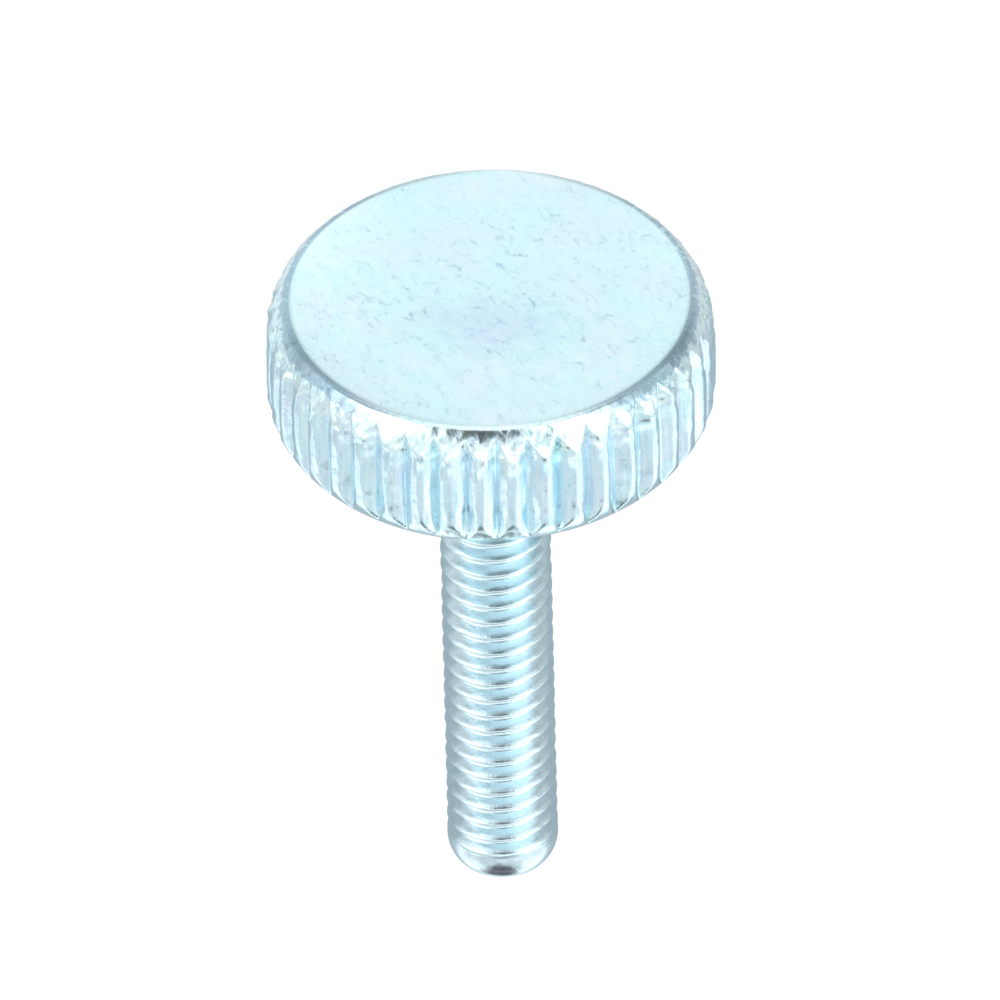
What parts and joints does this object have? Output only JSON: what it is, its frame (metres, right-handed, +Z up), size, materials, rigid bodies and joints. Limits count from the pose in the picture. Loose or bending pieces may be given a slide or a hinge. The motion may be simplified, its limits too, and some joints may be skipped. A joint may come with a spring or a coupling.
{
  "type": "knurled thumb screw",
  "caption": "Thumb screw with a flat round straight-knurled head, crowned bevels at both rims and a long slender shank with a rounded point, lying on its side.",
  "frame": {"origin": "bottom centre of the box of the screw as it lies on its side, on the surface it rests on", "axes": "+X along the length on the ground, from the head to the point; +Y across; +Z up. The screw's own axis lies in the XZ plane and rises from the point to the head by 16.2 degrees"},
  "size_m": [0.0264, 0.0156, 0.0157],
  "materials": {
    "zinc_plated_steel": "bright zinc plating with a pale blue cast, finely scratched on the flat top and pitted on the knurl"
  },
  "bodies": {
    "root": {"thumb_screw": "zinc_plated_steel"}
  },
  "joints": []
}
